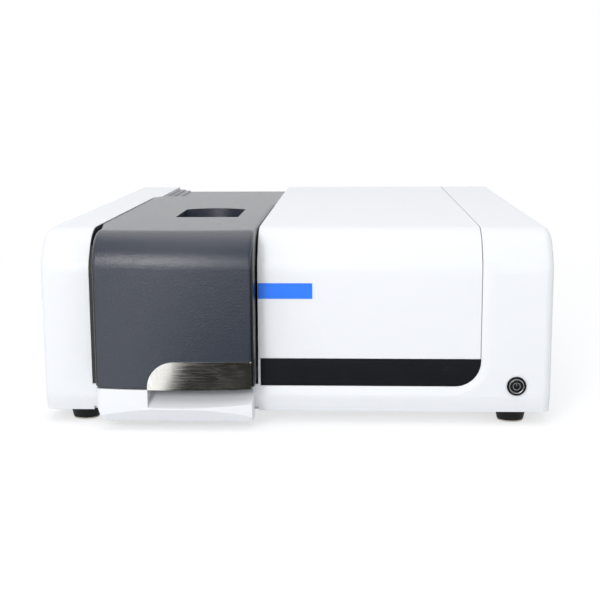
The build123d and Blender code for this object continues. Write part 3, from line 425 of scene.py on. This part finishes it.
def turned_ring(name, node, hole, power):
    """A ring: a rounded square carried round the axis. For t round the profile, the radius is the middle
    of the wall plus half its width times cos(t) to a power, and along is 0.5 - 0.5 times sin(t) to that
    power, both with their signs kept. A smaller power is squarer."""
    t = np.linspace(0, 2 * np.pi, ring_profile_steps, endpoint=False)
    across = np.sign(np.cos(t)) * np.abs(np.cos(t)) ** power
    along = 0.5 - 0.5 * np.sign(np.sin(t)) * np.abs(np.sin(t)) ** power
    outer = half_width_of(node)
    radius = (outer + hole) / 2 + (outer - hole) / 2 * across
    grid_piece(name, node, carried_round(node, radius, along), closed=True)


def turned_disc(name, node, edge):
    """A disc with a round front edge: straight out from the axis, a quarter circle of radius edge,
    straight back and in again."""
    outer = half_width_of(node)
    low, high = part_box(node)
    edge_share = edge / (high[1] - low[1])
    t = np.linspace(0, np.pi / 2, cap_edge_steps)
    face = np.linspace(0, outer - edge, cap_face_steps)
    side = np.linspace(edge_share, 1, cap_side_steps)
    radius = np.concatenate((
        face, outer - edge + edge * np.sin(t), np.full(cap_side_steps, outer), face[::-1]))
    along = np.concatenate((
        np.zeros(cap_face_steps), edge_share * (1 - np.cos(t)), side, np.ones(cap_face_steps)))
    grid_piece(name, node, carried_round(node, radius, along), closed=False)


clear_fit = 0.00015
cap_edge = 0.0006
turned_disc("power_button_soft_cap", "power_button_cap", edge=cap_edge)
turned_ring("power_button_bright_ring", "power_button_ring",
            hole=half_width_of("power_button_cap") + clear_fit, power=0.55)
turned_ring("power_button_soft_bezel", "power_button_bezel",
            hole=half_width_of("power_button_ring") + clear_fit, power=0.3)


# Studio
def flat_piece(name, left, right, front, back, height):
    """A flat sheet of the studio, facing up."""
    corners = [(left, front, height), (right, front, height), (right, back, height), (left, back, height)]
    mesh = bpy.data.meshes.new(name)
    mesh.from_pydata(corners, [], [(0, 1, 2, 3)])
    thing = bpy.data.objects.new(name, mesh)
    bpy.context.scene.collection.objects.link(thing)
    return thing


def seen_rays(tree):
    """1 for rays that see the background: straight from the camera, in a reflection or through glass."""
    rays = put(tree, "ShaderNodeLightPath").outputs
    straight_or_mirrored = reckoned(tree, "MAXIMUM", rays["Is Camera Ray"], rays["Is Glossy Ray"])
    return reckoned(tree, "MAXIMUM", straight_or_mirrored, rays["Is Transmission Ray"])


def blended(tree, share, first, second):
    """A shader between two others."""
    return put(tree, "ShaderNodeMixShader", {0: share, 1: first.outputs[0], 2: second.outputs[0]})


white = (1, 1, 1, 1)

# Floor: matt for the light that it throws back. Where it is seen, it is pale and takes the object's
# shadow, and turns plain white from white_start to white_end away from the middle
floor_reach = 20
white_start, white_end = 0.45, 1.1
floor = flat_piece("pale_floor", -floor_reach, floor_reach, -floor_reach, floor_reach, height=0)
floor_finish, tree, output, place = start_finish("pale_floor")
grain = cloud(tree, place, per_metre=30, detail=4)
matt = put(tree, "ShaderNodeBsdfPrincipled", {
    "Base Color": tinted(tree, grain, (0.78, 0.78, 0.79), (0.80, 0.80, 0.81)),
    "Roughness": 0.9,
    "Specular IOR Level": 0.1,
})
shadow_part = put(tree, "ShaderNodeBsdfDiffuse", {"Color": (0.46, 0.46, 0.465, 1)})
steady_part = put(tree, "ShaderNodeEmission", {"Color": white, "Strength": 0.58})
near = put(tree, "ShaderNodeAddShader", {0: shadow_part.outputs[0], 1: steady_part.outputs[0]})
far = put(tree, "ShaderNodeEmission", {"Color": white, "Strength": 1.0})
reach = put(tree, "ShaderNodeVectorMath", {0: place}, operation="LENGTH").outputs["Value"]
seen = blended(tree, between(tree, reach, 0.0, 1.0, white_start, white_end), near, far)
shown = blended(tree, seen_rays(tree), matt, seen)
tree.links.new(shown.outputs[0], output.inputs[0])
floor.data.materials.append(floor_finish)

# Dark card just above the floor in front of the object, which only reflections see. It fades in to the
# right from card_fade_left to card_fade_right, and to the rear from its front edge to card_full
card_front, card_full = -1.6, -0.95
card_fade_left, card_fade_right = -0.153, -0.142
card = flat_piece("dark_card", left=-0.3, right=0.7, front=card_front, back=-0.29, height=0.0006)
card_finish, tree, output, place = start_finish("dark_card")
place_parts = put(tree, "ShaderNodeSeparateXYZ", {0: place}).outputs
left_fade = between(tree, place_parts["X"], 0.0, 1.0, card_fade_left, card_fade_right)
front_fade = between(tree, place_parts["Y"], 0.0, 1.0, card_front, card_full)
dark = put(tree, "ShaderNodeEmission", {"Color": (0.02, 0.02, 0.018, 1), "Strength": 1.0})
nothing = put(tree, "ShaderNodeBsdfTransparent")
faded = blended(tree, reckoned(tree, "MULTIPLY", left_fade, front_fade), nothing, dark)
tree.links.new(faded.outputs[0], output.inputs[0])
card.data.materials.append(card_finish)
card.visible_camera = False
card.visible_diffuse = False
card.visible_shadow = False
card.visible_transmission = False

# World: white where it is seen, a softer light on the object, and in reflections a sky that is bright all
# round and darker overhead and high up in front
front_lean = -0.45
ceiling_start, ceiling_end = 0.45, 0.85
ceiling_bright, ceiling_dark = 1.05, 0.35
world = bpy.data.worlds.new("studio")
bpy.context.scene.world = world
world.use_nodes = True
tree = world.node_tree
tree.nodes.clear()
output = tree.nodes.new("ShaderNodeOutputWorld")
around = put(tree, "ShaderNodeBackground", {"Color": (0.97, 0.985, 1.0, 1), "Strength": 0.64})
behind = put(tree, "ShaderNodeBackground", {"Color": white, "Strength": 1.0})
direction = put(tree, "ShaderNodeTexCoord").outputs["Generated"]
direction_parts = put(tree, "ShaderNodeSeparateXYZ", {0: direction}).outputs
overhead = reckoned(tree, "MULTIPLY_ADD", direction_parts["Y"], front_lean, direction_parts["Z"])
ceiling = put(tree, "ShaderNodeBackground", {
    "Color": white,
    "Strength": between(tree, overhead, ceiling_bright, ceiling_dark, ceiling_start, ceiling_end),
})
mirrored = put(tree, "ShaderNodeLightPath").outputs["Is Glossy Ray"]
sky = blended(tree, seen_rays(tree), around, blended(tree, mirrored, behind, ceiling))
tree.links.new(sky.outputs[0], output.inputs[0])


# Lamps and camera
def standing(side, up, back, place):
    """Where a lamp or the camera stands, from the three directions of its own axes and its place."""
    stand = np.eye(4)
    stand[:3] = np.column_stack((side, up, back, place))
    return Matrix(stand.tolist())


def soft_lamp(name, place, aim, width, height, power):
    """A rectangular soft lamp at a place, turned to where it aims, with its width across +Y."""
    nearly_rearward = (0.0, 1.0, 0.001)
    lamp = bpy.data.lights.new(name, "AREA")
    lamp.shape = "RECTANGLE"
    lamp.size = width
    lamp.size_y = height
    lamp.energy = power
    back = np.array(place, float) - np.array(aim, float)
    back /= np.linalg.norm(back)
    side = np.cross(nearly_rearward, back)
    side /= np.linalg.norm(side)
    thing = bpy.data.objects.new(name, lamp)
    thing.matrix_world = standing(side, np.cross(back, side), back, place)
    bpy.context.scene.collection.objects.link(thing)


soft_lamp("key_lamp", place=(-0.3, -1.1, 1.8), aim=(0, 0, 0.1), width=1.6, height=1.2, power=5)
soft_lamp("side_lamp", place=(-0.68, -2.2, 1.0), aim=(0, -0.2, 0.08), width=0.5, height=0.72, power=17)
soft_lamp("front_lamp", place=(0.0, -2.4, 0.45), aim=(0, -0.2, 0.06), width=1.8, height=0.7, power=5)
soft_lamp("top_lamp", place=(0.0, 0.2, 1.9), aim=(0, 0, 0.1), width=1.6, height=1.6, power=9)

# Camera: its place, its turns in radians down from level, to the right of +Y and about its own view, and
# its lens and sensor in millimetres
camera_place = (0.054, -1.30046, 0.30367)
pitch, yaw, roll = 0.173940, -0.046614, -0.005829
forward = np.array((math.sin(yaw) * math.cos(pitch), math.cos(yaw) * math.cos(pitch), -math.sin(pitch)))
level = np.array((math.cos(yaw), -math.sin(yaw), 0.0))
above = np.cross(level, forward)
right_side = math.cos(roll) * level + math.sin(roll) * above
up_side = -math.sin(roll) * level + math.cos(roll) * above
lens = bpy.data.cameras.new("camera")
lens.sensor_width = 36
lens.lens = 69.2
camera = bpy.data.objects.new("camera", lens)
camera.matrix_world = standing(right_side, up_side, -forward, camera_place)
bpy.context.scene.collection.objects.link(camera)
bpy.context.scene.camera = camera
bpy.context.scene.view_settings.view_transform = "Standard"
